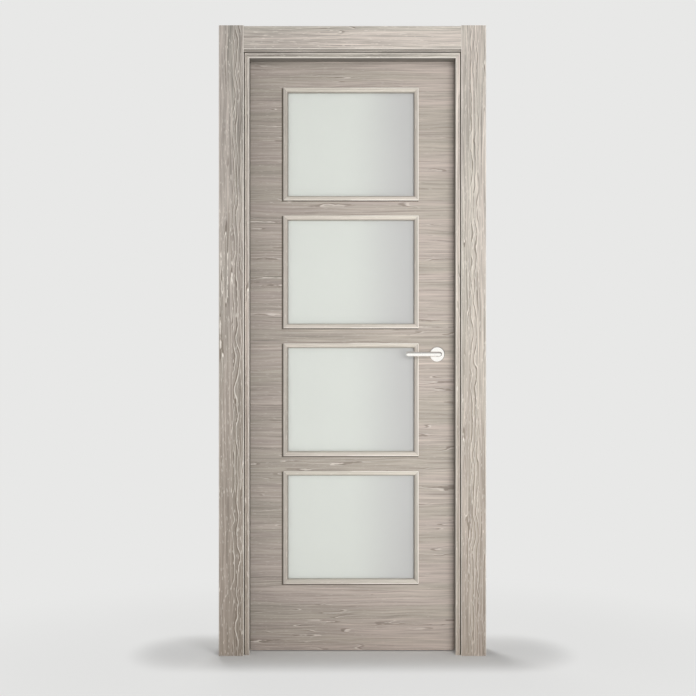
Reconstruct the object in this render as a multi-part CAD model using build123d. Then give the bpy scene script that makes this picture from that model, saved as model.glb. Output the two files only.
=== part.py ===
from build123d import *
import os

# A hinged interior door with four frosted panes, hung in a rebated lining with flat casings
# on both sides of the wall. Millimetres, +Z up. X runs along the wall from the hinge side to
# the lock side, and Y from the front, where the leaf sits deep in its reveal, to the rear,
# where the hinge barrels are. The origin is on the back of the hinge jamb, at floor level,
# in the middle of the lining's depth.

# Leaf
LEAF_WIDTH = 725.0
LEAF_HEIGHT = 2030.0
LEAF_THICKNESS = 35.0
SKIN_THICKNESS = 3.0
FLOOR_GAP = 3.5
LEAF_ARRIS = 1.0

# Windows in the leaf
WINDOW_COUNT = 4
HINGE_STILE_WIDTH = 126.5
LOCK_STILE_WIDTH = 136.0
TOP_RAIL_HEIGHT = 104.5
BOTTOM_RAIL_HEIGHT = 227.0
MIDDLE_RAIL_HEIGHT = 51.5

# Glass and the beads that hold it
GLASS_THICKNESS = 4.0
GLASS_EDGE_GAP = 2.0
BEAD_WIDTH = 16.0
BEAD_PROUD = 5.0
BEAD_CROWN_WIDTH = 6.0
BEAD_CROWN_RADIUS = 2.0
BEAD_QUIRK_DEPTH = 1.2
BEAD_QUIRK_RADIUS = 0.8
BEAD_INNER_DROP = 12.0
BEAD_MITRE_GAP = 0.1

# Lining round the leaf
JAMB_DEPTH = 100.0
JAMB_THICKNESS = 16.5
STOP_OVERLAP = 14.0
HEAD_STOP_OVERLAP = 17.0
EDGE_GAP = 6.5
STOP_GAP = 5.0
NOSE_RADIUS = 3.0
GROOVE_FROM_NOSE = 9.0
GROOVE_WIDTH = 1.6
GROOVE_DEPTH = 2.0
SHADOW_GAP_LIP = 2.2
SHADOW_GAP_WIDTH = 3.5
SHADOW_GAP_DEPTH = 8.0

# Seal in the rebate
SEAL_WIDTH = 8.0
SEAL_INSET = 2.0
SEAL_CLEARANCE = 0.6
SEAL_CORNER_GAP = 0.5

# Casings on the wall
CASING_WIDTH = 84.0
FRONT_HEAD_CASING_WIDTH = 78.0
CASING_THICKNESS = 12.0
CASING_ARRIS = 2.0
HEAD_CASING_DROP = 2.0
FRONT_SIDE_COVER = 2.5
FRONT_HEAD_SETBACK = 3.8
REAR_SETBACK = 8.0

# Hinges
HINGE_COUNT = 3
HINGE_HEIGHT = 100.0
HINGE_END_DISTANCE = 180.0
HINGE_KNUCKLES = 5
FLAP_THICKNESS = 2.5
FLAP_DEPTH = 28.0
BARREL_STAND_OFF = 8.0
PIN_RADIUS = 3.0
PIN_CLEARANCE = 0.1
KNUCKLE_GAP = 0.3
KNUCKLE_RELIEF = 0.6
PIN_CAP_HEIGHT = 3.0

# Lever handle
HANDLE_HEIGHT = 1016.5
HANDLE_BACKSET = 72.5
ROSE_RADIUS = 26.0
ROSE_THICKNESS = 8.0
ROSE_EDGE_RADIUS = 2.5
NECK_RADIUS = 8.0
NECK_CLEARANCE = 0.3
NECK_FOOT_GAP = 1.0
LEVER_LENGTH = 108.5
LEVER_HEEL = 13.0
LEVER_HEIGHT = 16.5
LEVER_DEPTH = 13.0
LEVER_PROJECTION = 58.0
LEVER_FRONT_RADIUS = 6.0
LEVER_BACK_RADIUS = 4.0
LEVER_TIP_RADIUS = 7.0
SPINDLE_SIZE = 8.0
SPINDLE_CLEARANCE = 0.1
SPINDLE_GRIP = 24.0
SPINDLE_HOLE_RADIUS = 8.0

# Latch in the lock edge and its strike in the jamb
LATCH_PLATE_HEIGHT = 196.0
LATCH_PLATE_WIDTH = 20.0
LATCH_PLATE_THICKNESS = 3.0
LATCH_BOLT_HEIGHT = 28.0
LATCH_BOLT_WIDTH = 12.0
LATCH_BOLT_LENGTH = 22.0
LATCH_CLEARANCE = 0.3
STRIKE_HEIGHT = 90.0
STRIKE_WIDTH = 24.0
STRIKE_THICKNESS = 2.0
STRIKE_MORTISE_DEPTH = 12.0
STRIKE_MARGIN = 2.0

# Places that follow from the sizes
REBATE_LEFT = JAMB_THICKNESS
LEAF_LEFT = REBATE_LEFT + EDGE_GAP
LEAF_RIGHT = LEAF_LEFT + LEAF_WIDTH
REBATE_RIGHT = LEAF_RIGHT + EDGE_GAP
FRAME_WIDTH = REBATE_RIGHT + JAMB_THICKNESS
MIDDLE_X = FRAME_WIDTH / 2
LEAF_BOTTOM = FLOOR_GAP
LEAF_TOP = LEAF_BOTTOM + LEAF_HEIGHT
REBATE_TOP = LEAF_TOP + EDGE_GAP
FRAME_TOP = REBATE_TOP + JAMB_THICKNESS
CLEAR_LEFT = LEAF_LEFT + STOP_OVERLAP
CLEAR_RIGHT = LEAF_RIGHT - STOP_OVERLAP
CLEAR_TOP = LEAF_TOP - HEAD_STOP_OVERLAP
LINING_FRONT = -JAMB_DEPTH / 2
LINING_REAR = JAMB_DEPTH / 2
LEAF_REAR = LINING_REAR
LEAF_FRONT = LEAF_REAR - LEAF_THICKNESS
LEAF_MIDDLE_Y = (LEAF_FRONT + LEAF_REAR) / 2
STOP_SHOULDER = LEAF_FRONT - STOP_GAP
CORE_FRONT = LEAF_FRONT + SKIN_THICKNESS
CORE_REAR = LEAF_REAR - SKIN_THICKNESS
WINDOW_LEFT = LEAF_LEFT + HINGE_STILE_WIDTH
WINDOW_RIGHT = LEAF_RIGHT - LOCK_STILE_WIDTH
RAIL_TOTAL = TOP_RAIL_HEIGHT + BOTTOM_RAIL_HEIGHT + MIDDLE_RAIL_HEIGHT * (WINDOW_COUNT - 1)
WINDOW_HEIGHT = (LEAF_HEIGHT - RAIL_TOTAL) / WINDOW_COUNT
WINDOW_PITCH = WINDOW_HEIGHT + MIDDLE_RAIL_HEIGHT
GLASS_FRONT = LEAF_MIDDLE_Y - GLASS_THICKNESS / 2
BEAD_DEPTH = GLASS_FRONT - LEAF_FRONT + BEAD_PROUD
HINGE_X = REBATE_LEFT + EDGE_GAP / 2
HINGE_Y = LEAF_REAR + BARREL_STAND_OFF
BARREL_RADIUS = EDGE_GAP / 2 + FLAP_THICKNESS
HANDLE_X = LEAF_RIGHT - HANDLE_BACKSET

LEAF_MIRROR = Plane(origin=(0, LEAF_MIDDLE_Y, 0), z_dir=(0, 1, 0))
WALL_MIRROR = Plane(origin=(MIDDLE_X, 0, 0), z_dir=(1, 0, 0))

os.makedirs("parts", exist_ok=True)


def slab(low, high):
    """A square block between its lowest and its highest corner."""
    size = Vector(*high) - Vector(*low)
    return Pos(*low) * Box(size.X, size.Y, size.Z, align=(Align.MIN, Align.MIN, Align.MIN))


def prism(points, y_start, y_end):
    """A block whose outline, given as (x, z) points, runs from one depth to another."""
    outline = make_face(Polyline([(x, y_start, z) for x, z in points], close=True))
    return extrude(outline, y_end - y_start, dir=(0, 1, 0))


def rod(radius, centre, start, end):
    """An upright round bar at (x, y) from one height to another."""
    foot = (centre[0], centre[1], start)
    return Pos(*foot) * Cylinder(radius, end - start, align=(Align.CENTER, Align.CENTER, Align.MIN))


def through_rod(radius, y_start, y_end):
    """A round bar on the handle's axis, from one depth to another."""
    axis = Plane(origin=(HANDLE_X, y_start, HANDLE_HEIGHT), z_dir=(0, 1, 0))
    return axis * Cylinder(radius, y_end - y_start, align=(Align.CENTER, Align.CENTER, Align.MIN))


def nearest_corners(face, places):
    """The corners of a flat profile that lie nearest to the given points."""
    return [min(face.vertices(), key=lambda v: (v.X - x) ** 2 + (v.Y - y) ** 2) for x, y in places]


def write(name, shape):
    """Keeps one node as its own STEP file."""
    export_step(shape, f"parts/{name}.step")


def window_bottoms():
    """The lowest height of each window's opening, from the top window down."""
    top = LEAF_TOP - TOP_RAIL_HEIGHT
    return [top - WINDOW_HEIGHT - WINDOW_PITCH * row for row in range(WINDOW_COUNT)]


# Lining


def board_section():
    """Section of the lining's board: X from its back towards the leaf, Y through the wall."""
    return Pos(0, LINING_FRONT) * Rectangle(JAMB_THICKNESS, JAMB_DEPTH, align=(Align.MIN, Align.MIN))


def stop_section(reach):
    """Section of the stop planted on the board, which covers the leaf's edge from the front.

    Its front has a deep shadow gap beside the board, a fine groove and a rounded nose.
    """
    nose = JAMB_THICKNESS + reach
    corner = Pos(JAMB_THICKNESS, LINING_FRONT)
    outline = corner * Rectangle(reach, STOP_SHOULDER - LINING_FRONT, align=(Align.MIN, Align.MIN))
    rounded = fillet(nearest_corners(outline, [(nose, LINING_FRONT)]), NOSE_RADIUS)
    groove = Pos(nose - GROOVE_FROM_NOSE, LINING_FRONT) * Rectangle(GROOVE_WIDTH, 2 * GROOVE_DEPTH)
    gap_middle = JAMB_THICKNESS + SHADOW_GAP_LIP + SHADOW_GAP_WIDTH / 2
    gap = Pos(gap_middle, LINING_FRONT) * Rectangle(SHADOW_GAP_WIDTH, 2 * SHADOW_GAP_DEPTH)
    return rounded - groove - gap


def upright(section, outline):
    """A side of the lining on the hinge side, cut to the (x, z) outline with its mitre."""
    return extrude(section, FRAME_TOP) & prism(outline, LINING_FRONT, LINING_REAR)


def head(section, outline):
    """The head of the lining, cut to the (x, z) outline with its two mitres."""
    along_wall = Plane(origin=(0, 0, FRAME_TOP), x_dir=(0, 0, -1), z_dir=(1, 0, 0))
    bar = along_wall * extrude(section, FRAME_WIDTH)
    return bar & prism(outline, LINING_FRONT, LINING_REAR)


def lining_pieces():
    """The boards and stops of the hinge side and the head."""
    board_corner = (REBATE_LEFT, REBATE_TOP)
    stop_corner = (CLEAR_LEFT, CLEAR_TOP)
    far_board_corner = (REBATE_RIGHT, REBATE_TOP)
    far_stop_corner = (CLEAR_RIGHT, CLEAR_TOP)
    side_stop = stop_section(CLEAR_LEFT - REBATE_LEFT)
    head_stop = stop_section(REBATE_TOP - CLEAR_TOP)
    top = [(0, FRAME_TOP), (FRAME_WIDTH, FRAME_TOP)]
    return {
        "hinge_jamb": upright(board_section(), [(0, 0), (REBATE_LEFT, 0), board_corner, (0, FRAME_TOP)]),
        "hinge_stop": upright(side_stop, [(REBATE_LEFT, 0), (CLEAR_LEFT, 0), stop_corner, board_corner]),
        "head_jamb": head(board_section(), [*top, far_board_corner, board_corner]),
        "head_stop": head(head_stop, [board_corner, far_board_corner, far_stop_corner, stop_corner]),
    }


def seal_section():
    """Half-round section of the seal: X across the stop, Y away from it."""
    rise = STOP_GAP - SEAL_CLEARANCE
    crown = ThreePointArc((0, rise / 2), (SEAL_WIDTH / 2, rise), (SEAL_WIDTH, rise / 2))
    foot = Polyline((SEAL_WIDTH, rise / 2), (SEAL_WIDTH, 0), (0, 0), (0, rise / 2))
    return make_face([*crown.edges(), *foot.edges()])


def seal_strips():
    """The three strips of the seal, on the shoulder that the leaf closes against."""
    inset = CLEAR_LEFT - SEAL_INSET - SEAL_WIDTH
    side = Pos(inset, STOP_SHOULDER, 0) * extrude(seal_section(), CLEAR_TOP)
    across = Plane(
        origin=(CLEAR_LEFT, STOP_SHOULDER, CLEAR_TOP + SEAL_INSET + SEAL_WIDTH),
        x_dir=(0, 0, -1),
        z_dir=(1, 0, 0),
    )
    head = across * extrude(seal_section(), CLEAR_RIGHT - CLEAR_LEFT)
    lowered = side & slab((0, STOP_SHOULDER, 0), (CLEAR_LEFT, LEAF_FRONT, CLEAR_TOP - SEAL_CORNER_GAP))
    return Compound(children=[*lowered.solids(), *mirror(lowered, WALL_MIRROR).solids(), *head.solids()])


# Casings


def casing_board(low, high, run, room_side):
    """A flat board with its two room-side arrises eased along its run."""
    board = slab(low, high)
    arrises = board.edges().filter_by(run).group_by(Axis.Y)[room_side]
    return fillet(arrises, CASING_ARRIS)


def casing_set(wall_face, room_face, inner_left, inner_bottom, head_width, room_side):
    """The hinge side, lock side and head casing of one face of the wall."""
    near, far = min(wall_face, room_face), max(wall_face, room_face)
    top = inner_bottom + head_width
    side = casing_board(
        (inner_left - CASING_WIDTH, near, 0),
        (inner_left, far, top + HEAD_CASING_DROP),
        Axis.Z,
        room_side,
    )
    head = casing_board((inner_left, near, inner_bottom), (FRAME_WIDTH - inner_left, far, top), Axis.X, room_side)
    return {"hinge_side": side, "lock_side": mirror(side, WALL_MIRROR), "head": head}


# Hinges


def hinge_centres():
    """The heights of the hinges' middles, evenly spread between the end ones."""
    low = LEAF_BOTTOM + HINGE_END_DISTANCE
    high = LEAF_TOP - HINGE_END_DISTANCE
    return [low + (high - low) * i / (HINGE_COUNT - 1) for i in range(HINGE_COUNT)]


def flap_recess(centre, leaf_side):
    """The shallow recess for one flap, in the leaf's edge or in the jamb."""
    start = LEAF_LEFT if leaf_side else REBATE_LEFT - FLAP_THICKNESS
    half = HINGE_HEIGHT / 2
    return slab(
        (start, LEAF_REAR - FLAP_DEPTH, centre - half),
        (start + FLAP_THICKNESS, LEAF_REAR, centre + half),
    )


def hinge_half(centre, leaf_side):
    """A flap with its knuckles. The frame's half has the pin, the leaf's half the bore for it."""
    start = LEAF_LEFT if leaf_side else REBATE_LEFT - FLAP_THICKNESS
    end = start + FLAP_THICKNESS
    bottom = centre - HINGE_HEIGHT / 2
    top = centre + HINGE_HEIGHT / 2
    relief = HINGE_Y - BARREL_RADIUS - KNUCKLE_RELIEF
    half = slab((start, LEAF_REAR - FLAP_DEPTH, bottom), (end, relief, top))
    pitch = HINGE_HEIGHT / HINGE_KNUCKLES
    for index in range(1 if leaf_side else 0, HINGE_KNUCKLES, 2):
        low = bottom + index * pitch + KNUCKLE_GAP / 2
        high = low + pitch - KNUCKLE_GAP
        half += slab((start, relief, low), (end, HINGE_Y, high))
        half += rod(BARREL_RADIUS, (HINGE_X, HINGE_Y), low, high)
    if leaf_side:
        return half - rod(PIN_RADIUS + PIN_CLEARANCE, (HINGE_X, HINGE_Y), bottom, top)
    half += rod(PIN_RADIUS, (HINGE_X, HINGE_Y), bottom - PIN_CAP_HEIGHT / 2, top + PIN_CAP_HEIGHT / 2)
    for cap_base in (bottom - PIN_CAP_HEIGHT + KNUCKLE_GAP / 2, top - KNUCKLE_GAP / 2):
        cap = rod(BARREL_RADIUS, (HINGE_X, HINGE_Y), cap_base, cap_base + PIN_CAP_HEIGHT)
        outer = -1 if cap_base > centre else 0
        half += fillet(cap.edges().group_by(Axis.Z)[outer], PIN_CAP_HEIGHT / 2)
    return half


# Leaf


def face_skin(front):
    """One face of the leaf in one piece, with its windows and the hole for the spindle."""
    near, far = (LEAF_FRONT, CORE_FRONT) if front else (CORE_REAR, LEAF_REAR)
    skin = slab((LEAF_LEFT, near, LEAF_BOTTOM), (LEAF_RIGHT, far, LEAF_TOP))
    rim = skin.faces().sort_by(Axis.Y)[0 if front else -1].edges()
    skin = fillet(rim, LEAF_ARRIS)
    for bottom in window_bottoms():
        skin -= slab((WINDOW_LEFT, near, bottom), (WINDOW_RIGHT, far, bottom + WINDOW_HEIGHT))
    skin -= through_rod(SPINDLE_HOLE_RADIUS, near, far)
    if not front:
        for centre in hinge_centres():
            skin -= flap_recess(centre, leaf_side=True)
    return skin


def hinge_stile():
    """The upright of the core on the hinge side, recessed for the flaps."""
    stile = slab((LEAF_LEFT, CORE_FRONT, LEAF_BOTTOM), (WINDOW_LEFT, CORE_REAR, LEAF_TOP))
    for centre in hinge_centres():
        stile -= flap_recess(centre, leaf_side=True)
    return stile


def lock_stile():
    """The upright of the core on the lock side, with the latch pocket and the spindle hole."""
    stile = slab((WINDOW_RIGHT, CORE_FRONT, LEAF_BOTTOM), (LEAF_RIGHT, CORE_REAR, LEAF_TOP))
    stile -= latch_plate_block()
    stile -= latch_bolt_block(LATCH_CLEARANCE)
    return stile - through_rod(SPINDLE_HOLE_RADIUS, CORE_FRONT, CORE_REAR)


def rail(bottom, height):
    """A rail of the core between the stiles."""
    return slab((WINDOW_LEFT, CORE_FRONT, bottom), (WINDOW_RIGHT, CORE_REAR, bottom + height))


def pane(bottom):
    """A sheet of glass, a little smaller than its opening."""
    gap = GLASS_EDGE_GAP
    return slab(
        (WINDOW_LEFT + gap, GLASS_FRONT, bottom + gap),
        (WINDOW_RIGHT - gap, GLASS_FRONT + GLASS_THICKNESS, bottom + WINDOW_HEIGHT - gap),
    )


def bead_section():
    """Section of a bead: X from the opening's edge inwards, Y from the glass out to the room.

    A flat crown along the outer edge, a small quirk, and a quarter-round down towards the glass.
    """
    corner = (Align.MIN, Align.MIN)
    shoulder = BEAD_DEPTH - BEAD_QUIRK_DEPTH
    brow = shoulder - BEAD_INNER_DROP
    round_width = BEAD_WIDTH - BEAD_CROWN_WIDTH
    window = Pos(BEAD_CROWN_WIDTH, brow) * Rectangle(round_width, BEAD_INNER_DROP, align=corner)
    quarter_round = Pos(BEAD_CROWN_WIDTH, brow) * Ellipse(round_width, BEAD_INNER_DROP) & window
    foot = Rectangle(BEAD_WIDTH, brow, align=corner)
    crown = Rectangle(BEAD_CROWN_WIDTH, BEAD_DEPTH, align=corner)
    crown = fillet(nearest_corners(crown, [(0, BEAD_DEPTH)]), BEAD_CROWN_RADIUS)
    crown = fillet(nearest_corners(crown, [(BEAD_CROWN_WIDTH, BEAD_DEPTH)]), BEAD_QUIRK_RADIUS)
    return foot + crown + quarter_round


def bead_ring(bottom):
    """The four mitred beads in front of one pane, as separate bars."""
    left, right, top = WINDOW_LEFT, WINDOW_RIGHT, bottom + WINDOW_HEIGHT
    across, up = Vector(1, 0, 0), Vector(0, 0, 1)
    width, height = right - left, top - bottom
    sides = [
        (Vector(left, GLASS_FRONT, bottom), up, across, width),
        (Vector(right, GLASS_FRONT, top), -up, -across, width),
        (Vector(left, GLASS_FRONT, top), across, -up, height),
        (Vector(right, GLASS_FRONT, bottom), -across, up, height),
    ]
    return [bead_bar(*side) for side in sides]


def bead_bar(corner, inward, run, length):
    """One bead from its outer corner along its run, cut at 45 degrees at both ends."""
    section_plane = Plane(origin=corner, x_dir=inward, z_dir=run)
    bar = section_plane * extrude(bead_section(), length)
    inner = inward * BEAD_WIDTH
    gap = BEAD_MITRE_GAP
    mitre = [
        corner + run * gap,
        corner + run * (length - gap),
        corner + run * (length - BEAD_WIDTH - gap) + inner,
        corner + run * (BEAD_WIDTH + gap) + inner,
    ]
    return bar & prism([(p.X, p.Z) for p in mitre], GLASS_FRONT, GLASS_FRONT - BEAD_DEPTH)


# Latch and strike


def edge_block(start, end, width, height):
    """A block on the handle's level, between two X values, in the middle of the leaf's thickness."""
    return slab(
        (start, LEAF_MIDDLE_Y - width / 2, HANDLE_HEIGHT - height / 2),
        (end, LEAF_MIDDLE_Y + width / 2, HANDLE_HEIGHT + height / 2),
    )


def latch_plate_block():
    """The latch's face plate, let into the leaf's edge."""
    return edge_block(LEAF_RIGHT - LATCH_PLATE_THICKNESS, LEAF_RIGHT, LATCH_PLATE_WIDTH, LATCH_PLATE_HEIGHT)


def latch_bolt_block(clearance):
    """The latch's bolt, drawn in, with the clearance round it."""
    start = LEAF_RIGHT - LATCH_BOLT_LENGTH - clearance
    width = LATCH_BOLT_WIDTH + 2 * clearance
    return edge_block(start, LEAF_RIGHT, width, LATCH_BOLT_HEIGHT + 2 * clearance)


def strike_window(start, end):
    """The space for the bolt in the strike plate and in the jamb behind it."""
    width = LATCH_BOLT_WIDTH + 2 * STRIKE_MARGIN
    return edge_block(start, end, width, LATCH_BOLT_HEIGHT + 2 * STRIKE_MARGIN)


def strike_plate_block():
    """The strike plate, let into the lock jamb."""
    return edge_block(REBATE_RIGHT, REBATE_RIGHT + STRIKE_THICKNESS, STRIKE_WIDTH, STRIKE_HEIGHT)


# Handle


def rose():
    """The round plate round the lever's neck, on the leaf's front."""
    axis = Plane(origin=(HANDLE_X, LEAF_FRONT, HANDLE_HEIGHT), z_dir=(0, -1, 0))
    plate = Cylinder(ROSE_RADIUS, ROSE_THICKNESS, align=(Align.CENTER, Align.CENTER, Align.MIN))
    plate = fillet(plate.edges().group_by(Axis.Z)[-1], ROSE_EDGE_RADIUS)
    bore = Cylinder(NECK_RADIUS + NECK_CLEARANCE, ROSE_THICKNESS, align=(Align.CENTER, Align.CENTER, Align.MIN))
    return axis * (plate - bore)


def lever():
    """The front lever: a round neck and a bar that points to the hinge side."""
    front = LEAF_FRONT - LEVER_PROJECTION
    neck = through_rod(NECK_RADIUS, front + LEVER_DEPTH / 2, LEAF_FRONT - NECK_FOOT_GAP)
    half = LEVER_HEIGHT / 2
    heel_centre = LEVER_HEEL - half
    bar = Pos(heel_centre, 0) * Rectangle(LEVER_LENGTH + heel_centre, LEVER_HEIGHT, align=(Align.MAX, Align.CENTER))
    bar = fillet(nearest_corners(bar, [(-LEVER_LENGTH, half), (-LEVER_LENGTH, -half)]), LEVER_TIP_RADIUS)
    outline = bar + Pos(heel_centre, 0) * Circle(half)
    front_plane = Plane(origin=(HANDLE_X, front, HANDLE_HEIGHT), x_dir=(1, 0, 0), z_dir=(0, -1, 0))
    grip = extrude(front_plane * outline, -LEVER_DEPTH)
    grip = fillet(grip.faces().sort_by(Axis.Y)[0].edges(), LEVER_FRONT_RADIUS)
    grip = fillet(grip.faces().sort_by(Axis.Y)[-1].edges(), LEVER_BACK_RADIUS)
    return grip + neck - spindle_bar(SPINDLE_CLEARANCE)


def spindle_bar(clearance):
    """The square bar through the leaf that joins the two levers, with the clearance round it."""
    reach = LEAF_THICKNESS / 2 + SPINDLE_GRIP + clearance
    half = SPINDLE_SIZE / 2 + clearance
    return slab(
        (HANDLE_X - half, LEAF_MIDDLE_Y - reach, HANDLE_HEIGHT - half),
        (HANDLE_X + half, LEAF_MIDDLE_Y + reach, HANDLE_HEIGHT + half),
    )


def build_frame():
    """Writes the nodes that stay on the wall."""
    lining = lining_pieces()
    hinge_jamb = lining["hinge_jamb"]
    lock_jamb = mirror(hinge_jamb, WALL_MIRROR)
    for number, centre in enumerate(hinge_centres(), start=1):
        hinge_jamb -= flap_recess(centre, leaf_side=False)
        write(f"hinge_{number}_frame_half", hinge_half(centre, leaf_side=False))
    lock_jamb -= strike_plate_block()
    lock_jamb -= strike_window(REBATE_RIGHT, REBATE_RIGHT + STRIKE_MORTISE_DEPTH)
    write("hinge_jamb", hinge_jamb)
    write("lock_jamb", lock_jamb)
    write("head_jamb", lining["head_jamb"])
    write("hinge_stop", lining["hinge_stop"])
    write("lock_stop", mirror(lining["hinge_stop"], WALL_MIRROR))
    write("head_stop", lining["head_stop"])
    write("stop_seal", seal_strips())
    write("strike_plate", strike_plate_block() - strike_window(REBATE_RIGHT, REBATE_RIGHT + STRIKE_THICKNESS))
    front = casing_set(
        LINING_FRONT,
        LINING_FRONT - CASING_THICKNESS,
        REBATE_LEFT + FRONT_SIDE_COVER,
        REBATE_TOP + FRONT_HEAD_SETBACK,
        FRONT_HEAD_CASING_WIDTH,
        0,
    )
    rear = casing_set(
        LINING_REAR,
        LINING_REAR + CASING_THICKNESS,
        REBATE_LEFT - REAR_SETBACK,
        REBATE_TOP + REAR_SETBACK,
        CASING_WIDTH - HEAD_CASING_DROP,
        -1,
    )
    for place, board in front.items():
        write(f"front_casing_{place}", board)
    for place, board in rear.items():
        write(f"rear_casing_{place}", board)


def build_leaf():
    """Writes the nodes that swing with the leaf."""
    write("hinge_stile", hinge_stile())
    write("lock_stile", lock_stile())
    write("top_rail", rail(LEAF_TOP - TOP_RAIL_HEIGHT, TOP_RAIL_HEIGHT))
    write("bottom_rail", rail(LEAF_BOTTOM, BOTTOM_RAIL_HEIGHT))
    for number, bottom in enumerate(window_bottoms()[:-1], start=1):
        write(f"middle_rail_{number}", rail(bottom - MIDDLE_RAIL_HEIGHT, MIDDLE_RAIL_HEIGHT))
    write("front_skin", face_skin(front=True))
    write("rear_skin", face_skin(front=False))
    for number, bottom in enumerate(window_bottoms(), start=1):
        beads = bead_ring(bottom)
        write(f"pane_{number}", pane(bottom))
        write(f"front_beads_{number}", Compound(children=[s for bar in beads for s in bar.solids()]))
        rear_bars = [mirror(bar, LEAF_MIRROR) for bar in beads]
        write(f"rear_beads_{number}", Compound(children=[s for bar in rear_bars for s in bar.solids()]))
    for number, centre in enumerate(hinge_centres(), start=1):
        write(f"hinge_{number}_leaf_half", hinge_half(centre, leaf_side=True))
    write("latch_plate", latch_plate_block() - latch_bolt_block(LATCH_CLEARANCE))
    write("latch_bolt", latch_bolt_block(0))
    write("front_rose", rose())
    write("rear_rose", mirror(rose(), LEAF_MIRROR))


def build_handle():
    """Writes the nodes that turn with the lever."""
    front_lever = lever()
    write("front_lever", front_lever)
    write("rear_lever", mirror(front_lever, LEAF_MIRROR))
    write("spindle", spindle_bar(0))


build_frame()
build_leaf()
build_handle()
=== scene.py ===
import logging
import math
from dataclasses import dataclass, field, replace
from enum import Enum
from functools import cached_property
from typing import Any, Callable, Iterable, NamedTuple, Union

import bpy
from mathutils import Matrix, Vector


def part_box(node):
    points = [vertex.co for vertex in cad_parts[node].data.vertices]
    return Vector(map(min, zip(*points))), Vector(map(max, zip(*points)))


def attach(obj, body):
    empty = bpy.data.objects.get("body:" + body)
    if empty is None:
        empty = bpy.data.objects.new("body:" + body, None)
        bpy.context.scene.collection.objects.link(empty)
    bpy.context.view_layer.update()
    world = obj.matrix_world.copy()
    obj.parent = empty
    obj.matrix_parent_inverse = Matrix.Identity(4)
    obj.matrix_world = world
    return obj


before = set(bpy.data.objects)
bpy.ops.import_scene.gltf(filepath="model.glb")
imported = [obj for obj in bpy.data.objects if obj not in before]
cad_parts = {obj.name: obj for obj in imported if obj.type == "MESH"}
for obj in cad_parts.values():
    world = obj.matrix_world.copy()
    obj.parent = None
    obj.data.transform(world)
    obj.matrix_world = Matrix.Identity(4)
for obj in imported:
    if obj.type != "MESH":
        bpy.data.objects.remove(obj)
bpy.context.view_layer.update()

log = logging.getLogger("glazed_door")

MM = 0.001
DOOR_MIDDLE = 0.385  # X of the leaf's middle, in metres

Number = Union[int, float]
Colour = tuple[float, float, float, float]
Point = tuple[float, float, float]
Step = tuple[float, float]

Socket = bpy.types.NodeSocket
Piece = bpy.types.Object
Material = bpy.types.Material
World = bpy.types.World
Owner = Union[Material, World]


def paint(red: int, green: int, blue: int) -> Colour:
    """A colour as a paint chart gives it, 0 to 255, made linear for the shaders."""

    def linear(part: int) -> float:
        """One part made linear, by the sRGB curve."""
        share = part / 255
        return share / 12.92 if share <= 0.04045 else ((share + 0.055) / 1.055) ** 2.4

    return (linear(red), linear(green), linear(blue), 1.0)


# Shader writing


def math_node(operation: str, flipped: bool = False) -> Callable[..., "Signal"]:
    """Writes a method of Signal that adds one Math node.

    Args:
        operation: the Math node's operation.
        flipped: whether the other operand comes first.

    Returns:
        The method.
    """

    def combine(signal: "Signal", *others: "Operand") -> "Signal":
        """The operation's result on this signal and the others."""
        operands = (*others, signal) if flipped else (signal, *others)
        sockets = dict(enumerate(operands))
        node = signal.recipe.node("ShaderNodeMath", {"operation": operation}, sockets)
        return Signal(signal.recipe, node.outputs[0])

    return combine


class Signal:
    """A number that varies over a surface. Arithmetic on it adds Math nodes.

    Its % leaves what is over after whole steps, never negative. Its < is 1 where it holds, else 0.
    """

    def __init__(self, recipe: "Recipe", socket: Socket) -> None:
        """Wraps an output socket of the recipe's tree."""
        self.recipe = recipe
        self.socket = socket

    __add__ = __radd__ = math_node("ADD")
    __sub__ = math_node("SUBTRACT")
    __rsub__ = math_node("SUBTRACT", flipped=True)
    __mul__ = __rmul__ = math_node("MULTIPLY")
    __truediv__ = math_node("DIVIDE")
    __mod__ = math_node("FLOORED_MODULO")
    __abs__ = math_node("ABSOLUTE")
    __lt__ = math_node("LESS_THAN")
    least = math_node("MINIMUM")

    def between(self, low: Number, high: Number) -> "Signal":
        """A soft step.

        Args:
            low: the value at which the step starts, at 0.
            high: the value at which it ends, at 1. It may be below low.

        Returns:
            The step, from 0 to 1.
        """
        settings = {"interpolation_type": "SMOOTHSTEP", "clamp": True}
        sockets = {"Value": self, "From Min": low, "From Max": high}
        node = self.recipe.node("ShaderNodeMapRange", settings, sockets)
        return Signal(self.recipe, node.outputs["Result"])

    def strip(self, low: float, high: float, blur: float) -> "Signal":
        """1 from low + blur to high, falling to 0 at low and at high + blur."""
        return self.between(low, low + blur) * self.between(high + blur, high)

    def swing(self, amount: Number) -> "Signal":
        """A noise's departure from its middle, times an amount."""
        return (self - NOISE_MIDDLE) * amount


Operand = Union[Signal, Number]
Link = Union[Signal, Socket, Number, tuple]
NOISE_MIDDLE = 0.5


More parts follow.
